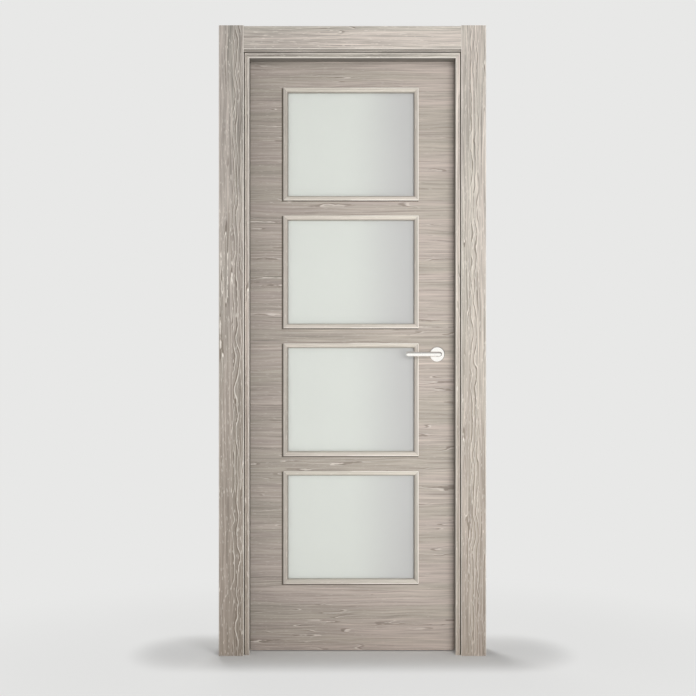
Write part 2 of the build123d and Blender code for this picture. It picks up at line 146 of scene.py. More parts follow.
class Recipe:
    """The node tree of a material or of the world, written node by node."""

    def __init__(self, owner: Owner) -> None:
        """Empties the tree of a material or of a world."""
        owner.use_nodes = True
        self.owner = owner
        self.tree = owner.node_tree
        self.tree.nodes.clear()

    @classmethod
    def named(cls, name: str) -> "Recipe":
        """Starts an empty material of that name."""
        return cls(bpy.data.materials.new(name))

    def node(
        self,
        kind: str,
        settings: dict[str, Any] | None = None,
        sockets: dict[str | int, Link] | None = None,
    ) -> bpy.types.Node:
        """Adds a node.

        Args:
            kind: the node's type.
            settings: its settings, set before its sockets.
            sockets: values or links of its input sockets, by name or number.

        Returns:
            The node.
        """
        node = self.tree.nodes.new(kind)
        for key, value in (settings or {}).items():
            setattr(node, key, value)
        for key, value in (sockets or {}).items():
            target = node.inputs[key]
            if isinstance(value, Signal):
                self.tree.links.new(value.socket, target)
            elif isinstance(value, Socket):
                self.tree.links.new(value, target)
            else:
                target.default_value = value
        return node

    @cached_property
    def place(self) -> Socket:
        """The place on the object, in metres."""
        return self.node("ShaderNodeTexCoord").outputs["Object"]

    @cached_property
    def axes(self) -> tuple[Signal, Signal, Signal]:
        """The place's three coordinates."""
        parts = self.node("ShaderNodeSeparateXYZ", sockets={0: self.place})
        return tuple(Signal(self, output) for output in parts.outputs)

    def rays(self, *kinds: str) -> list[Signal]:
        """1 for rays of a kind, such as Camera or Glossy, and 0 for others, for each kind."""
        path = self.node("ShaderNodeLightPath")
        return [Signal(self, path.outputs[f"Is {kind} Ray"]) for kind in kinds]

    def vector(self, x: Operand, y: Operand, z: Operand) -> Socket:
        """Three numbers joined to a vector."""
        return self.node("ShaderNodeCombineXYZ", sockets={0: x, 1: y, 2: z}).outputs[0]

    def noise(self, where: Link, scale: float, detail: float = 2.0, rough: float = 0.5) -> Signal:
        """Cloudy noise.

        Args:
            where: the vector that it is read at.
            scale: clouds for each unit of the vector.
            detail: how many finer layers are added.
            rough: how strong the finer layers are.

        Returns:
            The noise, around 0.5.
        """
        sockets = {"Vector": where, "Scale": scale, "Detail": detail, "Roughness": rough}
        settings = {"noise_dimensions": "3D", "normalize": True}
        node = self.node("ShaderNodeTexNoise", settings, sockets)
        return Signal(self, node.outputs["Fac"])

    def stretched(self, scales: Point, detail: float = 2.0, rough: float = 0.5) -> Signal:
        """Noise with its own scale along each axis, for fine lines."""
        x, y, z = self.axes
        return self.noise(self.vector(x * scales[0], y * scales[1], z * scales[2]), 1.0, detail, rough)

    def mix(self, share: Operand, first: Link, second: Link) -> Socket:
        """Blends two colours.

        Args:
            share: the second colour's share.
            first: the colour at a share of 0.
            second: the colour at a share of 1.

        Returns:
            The blended colour.
        """
        settings = {"data_type": "RGBA", "blend_type": "MIX", "clamp_factor": True}
        node = self.node("ShaderNodeMix", settings, {0: share, 6: first, 7: second})
        return node.outputs[2]

    def strengthen(self, colour: Link, amount: Operand) -> Socket:
        """A colour made lighter or darker by a factor."""
        if isinstance(colour, tuple):
            colour = colour[:3]
        sockets = {"Vector": colour, "Scale": amount}
        return self.node("ShaderNodeVectorMath", {"operation": "SCALE"}, sockets).outputs[0]

    def relief(self, height: Signal, depth: float, strength: float) -> Socket:
        """A bump.

        Args:
            height: the height, from 0 to 1.
            depth: what a height of 1 stands for, in metres.
            strength: how much of it is felt.

        Returns:
            The bent normal.
        """
        sockets = {"Height": height, "Distance": depth, "Strength": strength}
        return self.node("ShaderNodeBump", sockets=sockets).outputs["Normal"]

    def light(self, kind: str, colour: Link, strength: Operand) -> Socket:
        """A shader that gives light: Emission on a piece, Background in the world."""
        sockets = {"Color": colour, "Strength": strength}
        return self.node(f"ShaderNode{kind}", sockets=sockets).outputs[0]

    def blend(self, share: Operand, *shaders: Socket) -> Socket:
        """The first shader at a share of 0, and the second at 1."""
        sockets = {0: share, 1: shaders[0], 2: shaders[1]}
        return self.node("ShaderNodeMixShader", sockets=sockets).outputs[0]

    def finish(self, shader: Socket) -> Owner:
        """Joins a shader to the output and gives the material or the world."""
        end = "World" if isinstance(self.owner, World) else "Material"
        self.node(f"ShaderNodeOutput{end}", sockets={"Surface": shader})
        return self.owner

    def surface(self, **sockets: Link) -> Material:
        """Ends the recipe with the standard shader; its inputs have underscores for spaces."""
        named = {key.replace("_", " "): value for key, value in sockets.items()}
        shader = self.node("ShaderNodeBsdfPrincipled", sockets=named)
        return self.finish(shader.outputs["BSDF"])


# Finishes


class Grain(Enum):
    """The way that a veneer's grain runs."""

    UPRIGHT = "upright"
    LEVEL = "level"
    ROUND_WINDOWS = "along the bars round each window"


@dataclass(frozen=True)
class WindowGrid:
    """Where the windows' bead frames are, in metres.

    Args:
        left: their left edge's X. right is their right edge's.
        bottom: the height of the lowest frame's lower edge. top is its upper edge's.
        pitch: how much higher each frame is than the one below.
        highest: the height of the highest frame's upper edge.
    """

    left: float
    right: float
    bottom: float
    top: float
    pitch: float
    highest: float

    @property
    def middle(self) -> float:
        """The X of the windows' middle."""
        return (self.left + self.right) / 2

    def from_edges(self, recipe: Recipe) -> tuple[Signal, Signal]:
        """How far inside a bead frame a point is, from the nearer side and the nearer end."""
        x, _, z = recipe.axes
        side = (x - self.left).least(self.right - x)
        rise = (z - self.bottom) % self.pitch
        return side, rise.least((self.top - self.bottom) - rise)

    def level_share(self, recipe: Recipe) -> Signal:
        """1 on the level bars round a window and 0 on the upright ones."""
        side, end = self.from_edges(recipe)
        return 1 - (side < end)


def off_nearest(across: Signal, places: tuple[float, ...]) -> Signal:
    """How far the nearest of those places on its axis is."""
    nearest = abs(across - places[0])
    for place in places[1:]:
        nearest = nearest.least(abs(across - place))
    return nearest


class Mask:
    """Where on a veneer another colour shows. All sizes are in metres."""

    def share(self, recipe: Recipe) -> Signal:
        """That colour's share, from 0 to 1."""
        raise NotImplementedError


@dataclass(frozen=True)
class ArrisHighlights(Mask):
    """Painted highlights: pale lines along a veneer's arrises, where light catches them.

    Args:
        places: where the arrises are on their axis.
        axis: 0 for upright arrises, placed by X, and 2 for level ones, placed by height.
    """

    places: tuple[float, ...]
    axis: int
    width: float = 2.6 * MM
    core_share: float = 0.4
    strength: float = 0.75

    def share(self, recipe: Recipe) -> Signal:
        """How strong the painted highlight is."""
        off = off_nearest(recipe.axes[self.axis], self.places)
        return off.between(self.width, self.width * self.core_share) * self.strength


@dataclass(frozen=True)
class BeadRimHighlights(Mask):
    """A painted highlight on the outer rim of each bead frame, weaker on its left half, away from the
    light.
    """

    grid: WindowGrid
    width: float = 2.8 * MM
    core_share: float = 0.7
    left_strength: float = 0.4
    turn: float = 10 * MM

    def share(self, recipe: Recipe) -> Signal:
        """How strong the painted highlight is."""
        side, end = self.grid.from_edges(recipe)
        right_half = (recipe.axes[0] - self.grid.middle).between(-self.turn, self.turn)
        strength = right_half * (1 - self.left_strength) + self.left_strength
        return side.least(end).between(self.width, self.width * self.core_share) * strength


@dataclass(frozen=True)
class PaneEdgeShade(Mask):
    """Painted shade on the beads next to the pane, left off the lower bars, where light falls on them."""

    grid: WindowGrid
    bead_width: float = 16 * MM
    starts_before: float = 3 * MM
    full_before: float = 1.5 * MM
    lower_part: float = 100 * MM
    strength: float = 0.4

    def share(self, recipe: Recipe) -> Signal:
        """How strong the painted shade is."""
        rise = (recipe.axes[2] - self.grid.bottom) % self.grid.pitch
        lower_bar = (rise < self.lower_part) * self.grid.level_share(recipe)
        side, end = self.grid.from_edges(recipe)
        starts, full = self.bead_width - self.starts_before, self.bead_width - self.full_before
        return side.least(end).between(starts, full) * (1 - lower_bar) * self.strength


@dataclass(frozen=True)
class FrameShadow(Mask):
    """The dark line on the leaf along the left and the lower edge of each bead frame."""

    grid: WindowGrid
    lower_width: float = 4 * MM
    left_width: float = 6.4 * MM
    left_gain: float = 1.15
    blur: float = 0.6 * MM
    end_blur: float = 1 * MM
    strength: float = 0.85

    def share(self, recipe: Recipe) -> Signal:
        """How dark the leaf is."""
        grid, blur = self.grid, self.blur
        x, _, z = recipe.axes
        rise = (z - grid.bottom + self.lower_width) % grid.pitch
        height = grid.top - grid.bottom
        lower = rise.strip(0, self.lower_width, blur)
        lower = lower * x.strip(grid.left - self.lower_width, grid.right - blur, blur)
        left = x.strip(grid.left - self.left_width, grid.left, blur) * self.left_gain
        left = left * rise.between(height + self.lower_width, height)
        lowest = grid.bottom - self.lower_width - self.end_blur
        in_column = z.strip(lowest, grid.highest - self.end_blur, self.end_blur)
        return (lower + left).least(1.0) * (in_column * self.strength)


@dataclass(frozen=True)
class LedgeShade(Mask):
    """The shade under the head casing's lower edge.

    Args:
        front: the Y of the casing's front.
        edge: the height of its lower edge.
    """

    front: float
    edge: float
    reach: float = 4.2 * MM
    overlap: float = 0.2 * MM
    blur: float = 0.5 * MM
    depth: Step = (0.2 * MM, 0.8 * MM)
    strength: float = 0.55

    def share(self, recipe: Recipe) -> Signal:
        """How dark the veneer is."""
        _, y, z = recipe.axes
        lowest = self.edge - self.reach - self.blur
        under = z.strip(lowest, self.edge + self.overlap, self.blur)
        behind = y.between(self.front + self.depth[0], self.front + self.depth[1])
        return behind * under * self.strength


@dataclass(frozen=True)
class RecessShade(Mask):
    """The shade on a stop's inner side, behind its front at that Y."""

    front: float
    start: float = 1.5 * MM
    blur: float = 2 * MM
    strength: float = 0.85

    def share(self, recipe: Recipe) -> Signal:
        """How dark the stop is."""
        start = self.front + self.start
        return recipe.axes[1].between(start, start + self.blur) * self.strength


class Layer(NamedTuple):
    """One layer of the wood's figure: noise in long cells, in metres."""

    length: float
    width: float
    shift: float
    detail: float = 2.0


WANDER = Layer(0.3, 0.08, 0.0)
BAND = Layer(0.8, 0.05, 1.3)
STREAK = Layer(0.34, 0.0056, 3.1)
CRACK = Layer(0.3, 0.0042, 5.9, 1.0)
THREAD = Layer(0.14, 0.0032, 7.7, 3.0)
PORE = Layer(0.022, 0.003, 11.3, 1.0)
RING = Layer(0.7, 0.034, 13.7, 1.0)
RING_ZONE = Layer(0.5, 0.05, 17.9, 1.0)
WAVE = Layer(0.05, 0.02, 23.1)
BEND = Layer(0.11, 0.06, 29.5, 1.0)

# How far the grain wanders, and the noise levels between which a layer shows
WANDER_REACH = 0.022
BAND_STEP: Step = (0.36, 0.64)
PORE_STEP: Step = (0.62, 0.72)
CRACK_STEP: Step = (0.36, 0.26)
ZONE_STEP: Step = (0.48, 0.62)
RING_WAVE = 0.4
LINE_CORE = 0.3
LINE_PLACE = 0.5

# The wide figure in the side casings: its X, half-width, ring pitch and strength, and the extra painted
# light to the right in it
HEARTS = (-0.004, 0.797)
HEART_STEP: Step = (0.019, 0.008)
HEART_PITCH = 0.0125
HEART_BEND = 3.2
HEART_WAVE = 0.5
HEART_RINGS = 0.75
HEART_LIGHT_SLOPE = 0.25

# Strengths in the tone
STREAK_DEPTH = 1.2
THREAD_DEPTH = 1.5
DARK_SHARE = 0.75
UPRIGHT_BEAD_TONE = 0.86
LEVEL_BEAD_GAIN = 0.27
# Painted shade towards the floor: the heights where it is none and full, and its share
FOOT_SHADE_STEP: Step = (1.9, 0.0)
FOOT_SHADE_SHARE = 0.4
VENEER_ROUGHNESS = 0.5
VENEER_GLOSS = 0.3


class RingLook(NamedTuple):
    """How rings show, in shares of the way from one ring to the next."""

    ring_width: float
    groove_shift: float
    groove_width: float

    def lines(self, phase: Signal) -> tuple[Signal, Signal]:
        """The pale rings and the dark grooves beside them."""
        rings = self._line(phase, 0.0, self.ring_width)
        return rings, self._line(phase, self.groove_shift, self.groove_width)

    @staticmethod
    def _line(phase: Signal, shift: float, width: float) -> Signal:
        """Thin lines, one to each whole step of the phase."""
        return abs((phase + shift) % 1 - LINE_PLACE).between(width, width * LINE_CORE)


COMMON_RINGS = RingLook(0.05, 0.09, 0.075)
HEART_LOOK = RingLook(0.11, 0.19, 0.19)


class Board:
    """A recipe together with the way that the grain runs."""

    def __init__(self, recipe: Recipe, along: Signal, across: Signal, seed: float) -> None:
        """Keeps the places along and across the grain, and lets the grain wander."""
        self.recipe = recipe
        self.along = along
        self.across = across
        self.seed = seed
        self.wander = across + self.noise(WANDER, across).swing(WANDER_REACH)

    def noise(self, layer: Layer, side: Signal | None = None) -> Signal:
        """A layer's noise, read at a place across the grain or else at the wandering one."""
        side = self.wander if side is None else side
        length = self.along / layer.length + (self.seed + layer.shift)
        where = self.recipe.vector(length, side / layer.width, self.recipe.axes[1] / layer.width)
        return self.recipe.noise(where, 1.0, layer.detail)


@dataclass(frozen=True)
class Veneer:
    """Grey oak veneer: tone bands, streaks, pale pores and wandering light rings.

    Args:
        name: the material's name.
        warm: the warmer body tone. cool is the other.
        light: the tone of pores and rings.
        dark: the tone of cracks and grooves.
        grain: the way that the grain runs.
        streak: the streaks' strength. fleck, ring and crack are that of pores, rings and cracks.
        seed: a shift along the grain.
        rings: rings to each turn of their noise.
        painted_light_slope: painted light, how much lighter it gets for each metre to the right.
        tone: the body's factor.
        foot_shade: painted shade, a darker and browner tone that it takes on towards the floor.
        hearts: the X of the wide figure in the side casings.
        painted_highlight: where a highlight is painted pale. shaded is where shade is painted.
        grid: the bead frames, where the grain runs round the windows.
    """

    name: str
    warm: Colour
    cool: Colour
    light: Colour
    dark: Colour
    grain: Grain
    streak: float
    fleck: float
    ring: float
    crack: float
    seed: float
    rings: float = 8.0
    painted_light_slope: float = 0.3
    tone: float = 1.0
    foot_shade: Colour | None = None
    hearts: tuple[float, ...] = ()
    # A painted highlight: pale marks where light catches arrises and bead rims
    painted_highlight: Mask | None = None
    shaded: Mask | None = None
    grid: WindowGrid | None = None
    # The tone of the painted highlight
    highlight_tone: Colour = paint(243, 238, 230)
    deep: Colour = paint(78, 70, 61)

    def _board(self, recipe: Recipe) -> Board:
        """The recipe with its grain laid out."""
        x, _, z = recipe.axes
        if self.grain is Grain.UPRIGHT:
            return Board(recipe, z, x, self.seed)
        if self.grain is Grain.LEVEL:
            return Board(recipe, x, z, self.seed)
        level = self.grid.level_share(recipe)
        upright = 1 - level
        return Board(recipe, z * upright + x * level, x * upright + z * level, self.seed)

    def _rings(self, board: Board, heart: Signal | None) -> tuple[Signal, Signal]:
        """The pale rings and their grooves, on a board with a wide figure or with None."""
        wave = board.noise(WAVE, board.across)
        zone = board.noise(RING_ZONE).between(*ZONE_STEP)
        phase = board.noise(RING) * self.rings + wave.swing(RING_WAVE)
        ring, groove = (line * zone for line in COMMON_RINGS.lines(phase))
        if heart is None:
            return ring, groove
        bend = board.noise(BEND, board.across) * HEART_BEND
        turns = board.across / HEART_PITCH + bend + wave.swing(HEART_WAVE)
        heart_ring, heart_groove = HEART_LOOK.lines(turns)
        ring = ring * (1 - heart) + heart_ring * (heart * HEART_RINGS)
        return ring, (groove * (1 - heart) + heart_groove * heart).least(1.0)

    def _shade(self, recipe: Recipe, grain: Signal, heart: Signal | None) -> Signal:
        """The body tone's factor, from the streaks' part of it and the wide figure, with painted light
        that makes it lighter to the right.
        """
        aside = recipe.axes[0] - DOOR_MIDDLE
        # Painted light: the tone grows lighter towards the right, more so in the wide figure
        shade = (grain + self.tone) * (1 + aside * self.painted_light_slope)
        if heart is not None:
            shade = shade * (1 + aside * heart * HEART_LIGHT_SLOPE)
        if self.grid:
            shade = shade * (self.grid.level_share(recipe) * LEVEL_BEAD_GAIN + UPRIGHT_BEAD_TONE)
        return shade

    def material(self) -> Material:
        """Writes the veneer."""
        recipe = Recipe.named(self.name)
        board = self._board(recipe)
        heart = off_nearest(board.across, self.hearts).between(*HEART_STEP) if self.hearts else None
        streak = board.noise(STREAK)
        thread = board.noise(THREAD)
        pore = board.noise(PORE).between(*PORE_STEP)
        crack = board.noise(CRACK).between(*CRACK_STEP)
        ring, groove = self._rings(board, heart)
        grain = streak.swing(self.streak * STREAK_DEPTH) + thread.swing(self.streak * THREAD_DEPTH)

        body = recipe.mix(board.noise(BAND).between(*BAND_STEP), self.warm, self.cool)
        body = recipe.strengthen(body, self._shade(recipe, grain, heart))
        dark = (crack * self.crack + groove * self.ring).least(1.0) * DARK_SHARE
        body = recipe.mix(dark, body, self.dark)
        # Painted shade: darker and browner towards the floor
        if self.foot_shade:
            body = recipe.mix(recipe.axes[2].between(*FOOT_SHADE_STEP) * FOOT_SHADE_SHARE, body, self.foot_shade)
        body = recipe.mix(pore * self.fleck, body, self.light)
        body = recipe.mix(ring * self.ring, body, self.light)
        # Lays the painted highlight, then the painted shade, over the wood's own colour
        for mask, colour in ((self.painted_highlight, self.highlight_tone), (self.shaded, self.deep)):
            if mask:
                body = recipe.mix(mask.share(recipe), body, colour)
        height = streak * 0.4 + thread * 0.3 + pore * 0.3 - crack * 0.5 + ring * 0.3
        return recipe.surface(
            Base_Color=body,
            Roughness=streak.swing(0.25) + VENEER_ROUGHNESS,
            Specular_IOR_Level=VENEER_GLOSS,
            Normal=recipe.relief(height, 0.4 * MM, 0.35),
        )


@dataclass(frozen=True)
class Core:
    """Pale edge wood under the skins, with fine grain."""

    name: str
    tone: Colour
    deep: Colour
    grain_scale: Point = (240.0, 240.0, 6.0)
    grain_step: Step = (0.3, 0.75)
    grain_share: float = 0.6
    cloud_scale: float = 9.0
    cloud_share: float = 0.3
    roughness: float = 0.6

    def material(self) -> Material:
        """Writes the wood."""
        recipe = Recipe.named(self.name)
        lines = recipe.stretched(self.grain_scale, 3.0, 0.6)
        cloud = recipe.noise(recipe.place, self.cloud_scale)
        share = lines.between(*self.grain_step) * self.grain_share + cloud * self.cloud_share
        return recipe.surface(
            Base_Color=recipe.mix(share, self.tone, self.deep),
            Roughness=cloud.swing(0.2) + self.roughness,
            Normal=recipe.relief(lines, 0.3 * MM, 0.3),
        )


@dataclass(frozen=True)
class FrostedGlass:
    """Glass that is etched on one side: pale, cloudy, with a fine tooth, and with painted shade that
    darkens it from left to right.
    """

    name: str
    tint: Colour
    # The tone where the painted shade is full, at the pane's right
    shade: Colour
    left: float
    right: float
    passing: float
    cloud_scale: float = 2.4
    tooth_scale: float = 2600.0
    roughness: float = 0.5
    refraction: float = 1.45

    def material(self) -> Material:
        """Writes the glass."""
        recipe = Recipe.named(self.name)
        cloud = recipe.noise(recipe.place, self.cloud_scale, 1.0)
        tooth = recipe.noise(recipe.place, self.tooth_scale, 1.0)
        # Painted shade: the pane darkens towards its right edge, with a cloudy unevenness
        depth = recipe.axes[0].between(self.left, self.right) + cloud.swing(0.3)
        return recipe.surface(
            Base_Color=recipe.mix(depth, self.tint, self.shade),
            Roughness=tooth.swing(0.1) + self.roughness,
            Transmission_Weight=self.passing,
            IOR=self.refraction,
            Normal=recipe.relief(tooth, 0.05 * MM, 0.2),
        )


@dataclass(frozen=True)
class Metal:
    """Plated or satin metal with faint handling marks."""

    name: str
    tone: Colour
    roughness: float
    brushed: float = 0.0
    haze_scale: float = 70.0
    haze_step: Step = (0.55, 0.8)
    haze_depth: float = 0.06
    line_scale: Point = (900.0, 900.0, 60.0)

    def material(self) -> Material:
        """Writes the metal."""
        recipe = Recipe.named(self.name)
        haze = recipe.noise(recipe.place, self.haze_scale, 3.0)
        lines = recipe.stretched(self.line_scale)
        wear = haze.swing(0.12) + lines.swing(0.3 * self.brushed)
        dulling = haze.between(*self.haze_step) * self.haze_depth
        return recipe.surface(
            Base_Color=recipe.strengthen(self.tone, 1 - dulling),
            Metallic=1.0,
            Roughness=wear + self.roughness,
            Normal=recipe.relief(lines, 0.02 * MM, 0.1 + 0.4 * self.brushed),
        )


@dataclass(frozen=True)
class Rubber:
    """Soft seal with a dull skin."""

    name: str
    tone: Colour
    grain_scale: float = 900.0
    roughness: float = 0.75

    def material(self) -> Material:
        """Writes the rubber."""
        recipe = Recipe.named(self.name)
        grain = recipe.noise(recipe.place, self.grain_scale)
        return recipe.surface(
            Base_Color=recipe.strengthen(self.tone, grain * 0.2 + 0.9),
            Roughness=grain.swing(0.2) + self.roughness,
            Normal=recipe.relief(grain, 0.1 * MM, 0.25),
        )


def dress(nodes: Iterable[str], material: Material) -> None:
    """Gives the CAD nodes of those names a finish."""
    for name in nodes:
        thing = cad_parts[name]
        if not thing.material_slots:
            thing.data.materials.append(material)
        for slot in thing.material_slots:
            slot.material = material
        log.info("dressed %s in %s", name, material.name)


# Bench work

BEVEL_STEPS = 2
SHARP_ANGLE = math.radians(30)
SMOOTH_ANGLE = math.radians(40)
LEAST_COSINE = 0.9


class Bench:
    """Mesh work by operators, one piece at a time."""

    @staticmethod
    def clear() -> None:
        """Leaves nothing selected."""
        if bpy.context.object and bpy.context.object.mode != "OBJECT":
            bpy.ops.object.mode_set(mode="OBJECT")
        bpy.ops.object.select_all(action="DESELECT")

    @classmethod
    def take(cls, piece: Piece) -> None:
        """Makes a piece the only selected and active one."""
        cls.clear()
        piece.select_set(True)
        bpy.context.view_layer.objects.active = piece

    @classmethod
    def rod(cls, name: str, radius: float, length: float, sides: int) -> Piece:
        """A rod round the Z axis with its top at height 0 and that many sides."""
        cls.clear()
        bpy.ops.mesh.primitive_cylinder_add(
            vertices=sides, radius=radius, depth=length, location=(0, 0, -length / 2)
        )
        piece = bpy.context.object
        piece.name = name
        piece.data.name = name
        return piece

    @staticmethod
    def pick_faces(piece: Piece, towards: Point) -> None:
        """Selects, in edit mode, the faces that look one way."""
        bpy.ops.mesh.select_all(action="DESELECT")
        bpy.ops.object.mode_set(mode="OBJECT")
        for face in piece.data.polygons:
            face.select = face.normal.dot(Vector(towards)) >= LEAST_COSINE
        bpy.ops.object.mode_set(mode="EDIT")

    @classmethod
    def soften(cls, piece: Piece, width: float) -> None:
        """Bevels a piece's sharp edges by a width and shades it."""
        cls.take(piece)
        bevel = piece.modifiers.new("arris", "BEVEL")
        bevel.width = width
        bevel.segments = BEVEL_STEPS
        bevel.limit_method = "ANGLE"
        bevel.angle_limit = SHARP_ANGLE
        bpy.ops.object.modifier_apply(modifier=bevel.name)
        bpy.ops.object.shade_smooth_by_angle(angle=SMOOTH_ANGLE)

    @classmethod
    def join(cls, piece: Piece, tool: Piece, operation: str) -> None:
        """Cuts a closed tool out of a piece, or adds it by UNION, and throws the tool away."""
        cls.take(piece)
        boolean = piece.modifiers.new("cut", "BOOLEAN")
        boolean.operation = operation
        boolean.object = tool
        boolean.solver = "EXACT"
        bpy.ops.object.modifier_apply(modifier=boolean.name)
        bpy.data.objects.remove(tool)

    @classmethod
    def settle(cls, piece: Piece, place: Point, turn: Point = (0, 0, 0)) -> None:
        """Puts a piece's origin in its place, turned in radians, and applies it to the mesh."""
        cls.take(piece)
        piece.location = place
        piece.rotation_euler = turn
        bpy.ops.object.transform_apply(location=True, rotation=True, scale=True)

    @classmethod
    def repeat(cls, pattern: Piece, name: str, place: Point, turn: Point) -> Piece:
        """A copy of a pattern piece with its own name and mesh, in its place."""
        piece = pattern.copy()
        piece.data = pattern.data.copy()
        piece.name = name
        piece.data.name = name
        bpy.context.scene.collection.objects.link(piece)
        cls.settle(piece, place, turn)
        return piece


def fit_out(piece: Piece, body: str, material: Material) -> None:
    """Gives a new piece its finish in a material slot, and the body it rides on."""
    piece.data.materials.clear()
    piece.data.materials.append(material)
    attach(piece, body)
    log.info("%s rides on %s", piece.name, body)


# The pieces

TURN_TO_RIGHT: Point = (0, math.pi / 2, 0)
TURN_TO_LEFT: Point = (0, -math.pi / 2, 0)
TURN_DOWN: Point = (math.pi, 0, 0)
UP: Point = (0, 0, 1)
DOWN: Point = (0, 0, -1)
FACES = ("front", "rear")
WINDOWS = range(1, 5)
HINGES = range(1, 4)
GLASS_SHADE_START = 0.2  # GLASS_SHADE_START = 0.2 # from a pane's left edge to where its painted shade starts, in metres


@dataclass
class ScrewKit:
    """Countersunk cross-head screws and socket screws, in metres."""

    metal: Material
    head_radius: float = 3.6 * MM
    head_depth: float = 1.6 * MM
    head_sides: int = 32
    head_taper: Point = (0.6, 0.6, 1)
    crown_rise: float = 0.15 * MM
    rim: float = 0.5 * MM
    head_arris: float = 0.08 * MM
    slot_size: Point = (4.6 * MM, 1.1 * MM, 2.2 * MM)
    slot_taper: Point = (0.35, 0.7, 1)
    socket_screw_radius: float = 2.2 * MM
    socket_screw_length: float = 3.0 * MM
    socket_screw_sides: int = 28
    socket_radius: float = 1.15 * MM
    socket_depth: float = 2.4 * MM
    socket_arris: float = 0.15 * MM
    patterns: dict[str, Piece] = field(default_factory=dict)

    def _cross_cutter(self) -> Piece:
        """The tapered cross that the driver fits in."""
        Bench.clear()
        bpy.ops.mesh.primitive_cube_add(size=1, location=(0, 0, 0))
        bar = bpy.context.object
        bar.scale = self.slot_size
        bpy.ops.object.transform_apply(scale=True)
        bpy.ops.object.mode_set(mode="EDIT")
        Bench.pick_faces(bar, DOWN)
        bpy.ops.transform.resize(value=self.slot_taper)
        bpy.ops.object.mode_set(mode="OBJECT")
        other = Bench.repeat(bar, "cross_bar", (0, 0, 0), (0, 0, math.pi / 2))
        Bench.join(bar, other, "UNION")
        return bar

    def cross_head(self) -> Piece:
        """The pattern of a countersunk screw head, its face at height 0."""
        if "cross" not in self.patterns:
            head = Bench.rod("screw_pattern", self.head_radius, self.head_depth, self.head_sides)
            bpy.ops.object.mode_set(mode="EDIT")
            Bench.pick_faces(head, DOWN)
            bpy.ops.transform.resize(value=self.head_taper)
            Bench.pick_faces(head, UP)
            bpy.ops.mesh.inset(thickness=self.rim)
            bpy.ops.transform.translate(value=(0, 0, self.crown_rise))
            bpy.ops.object.mode_set(mode="OBJECT")
            Bench.join(head, self._cross_cutter(), "DIFFERENCE")
            Bench.soften(head, self.head_arris)
            self.patterns["cross"] = head
        return self.patterns["cross"]

    def socket_head(self) -> Piece:
        """The pattern of a small socket screw, its face at height 0."""
        if "socket" not in self.patterns:
            size = (self.socket_screw_radius, self.socket_screw_length, self.socket_screw_sides)
            head = Bench.rod("grub_pattern", *size)
            Bench.clear()
            bpy.ops.mesh.primitive_cylinder_add(
                vertices=6, radius=self.socket_radius, depth=self.socket_depth, location=(0, 0, 0)
            )
            Bench.join(head, bpy.context.object, "DIFFERENCE")
            Bench.soften(head, self.socket_arris)
            self.patterns["socket"] = head
        return self.patterns["socket"]

    def put_cross(self, name: str, body: str, place: Point, turn: Point) -> None:
        """Sets one cross-head screw on a body: the middle of its face, and its turn from up."""
        screw = Bench.repeat(self.cross_head(), name, place, turn)
        fit_out(screw, body, self.metal)

    def put_socket(self, name: str, place: Point) -> None:
        """Sets one socket screw of that name in the handle, looking down."""
        screw = Bench.repeat(self.socket_head(), name, place, TURN_DOWN)
        fit_out(screw, "handle", self.metal)

    def put_away(self) -> None:
        """Removes the patterns."""
        for pattern in self.patterns.values():
            bpy.data.objects.remove(pattern)
        self.patterns.clear()


@dataclass
class Surround:
    """The lining, its stops, the seal and the casings on both sides of the wall."""

    upright: Veneer
    level: Veneer
    upright_stop: Veneer
    level_stop: Veneer
    seal: Rubber
    steel: Metal

    def build(self) -> None:
        """Dresses the surround."""
        sides = ["hinge_jamb", "lock_jamb"]
        sides += [f"{face}_casing_{side}_side" for face in FACES for side in ("hinge", "lock")]
        heads = ["head_jamb", "front_casing_head", "rear_casing_head"]
        dress(["hinge_stop", "lock_stop"], self.upright_stop.material())
        dress(["head_stop"], self.level_stop.material())
        dress(sides, self.upright.material())
        dress(heads, self.level.material())
        dress(["stop_seal"], self.seal.material())
        dress(["strike_plate"], self.steel.material())


@dataclass
class Leaf:
    """The leaf: skins, edges, panes, beads and the latch in its edge."""

    skin: Veneer
    edge: Core
    bead: Veneer
    glass: FrostedGlass
    steel: Metal

    def build(self) -> None:
        """Dresses the leaf."""
        dress(["front_skin", "rear_skin"], self.skin.material())
        rails = ["top_rail", "bottom_rail"] + [f"middle_rail_{n}" for n in WINDOWS[:-1]]
        dress(["hinge_stile", "lock_stile"] + rails, self.edge.material())
        dress([f"{face}_beads_{n}" for face in FACES for n in WINDOWS], self.bead.material())
        dress([f"pane_{n}" for n in WINDOWS], self.glass.material())
        dress(["latch_plate", "latch_bolt"], self.steel.material())


